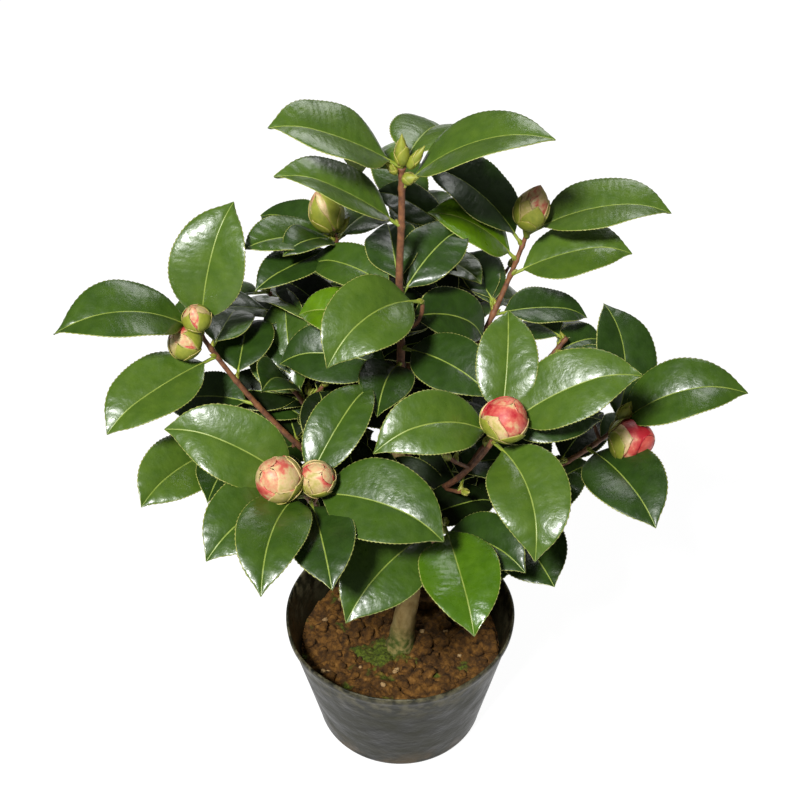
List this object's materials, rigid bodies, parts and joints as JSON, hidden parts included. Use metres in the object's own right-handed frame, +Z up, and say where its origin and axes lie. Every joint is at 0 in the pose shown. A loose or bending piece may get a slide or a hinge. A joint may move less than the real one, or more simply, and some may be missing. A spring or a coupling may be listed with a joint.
{
  "type": "potted camellia shrub",
  "caption": "Young evergreen camellia shrub with glossy serrate leaves and fat flower buds on a short bare trunk, standing in a round dark nursery pot of soil.",
  "frame": {"origin": "centre of the pot's flat underside, which stands on the ground or a table", "axes": "+Z up along the pot's axis and the plant's leader; -Y is the side seen from the front; +X to the right of that view"},
  "size_m": [0.4068, 0.3704, 0.5038],
  "materials": {
    "pot_plastic": "dark grey-green soft plastic, dusty and scuffed",
    "soil": "damp reddish-brown earth with clods and pebbles",
    "bark": "smooth pale tan-grey bark with a little moss at its foot",
    "twig_bark": "red-brown young bark",
    "leaf": "glossy dark green leaves"
  },
  "bodies": {
    "root": {"bough_back_high": "twig_bark", "bough_back_left": "twig_bark", "bough_back_low": "twig_bark", "bough_back_mid": "twig_bark", "bough_back_right": "twig_bark", "bough_front_left": "twig_bark", "bough_front_low": "twig_bark", "bough_front_right": "twig_bark", "bough_inner_left": "twig_bark", "bough_left": "twig_bark", "bough_left_back": "twig_bark", "bough_left_low": "twig_bark", "bough_right": "twig_bark", "bough_right_back": "twig_bark", "bough_right_low": "twig_bark", "bough_right_mid": "twig_bark", "foliage_back_high": "leaf", "foliage_back_left": "leaf", "foliage_back_low": "leaf", "foliage_back_mid": "leaf", "foliage_back_right": "leaf", "foliage_centre": "leaf", "foliage_front_left": "leaf", "foliage_front_low": "leaf", "foliage_front_right": "leaf", "foliage_inner_left": "leaf", "foliage_left": "leaf", "foliage_left_back": "leaf", "foliage_left_low": "leaf", "foliage_right": "leaf", "foliage_right_back": "leaf", "foliage_right_low": "leaf", "foliage_right_mid": "leaf", "foliage_top": "leaf", "leader": "twig_bark", "pot": "pot_plastic", "soil": "soil", "trunk": "bark"}
  },
  "joints": []
}
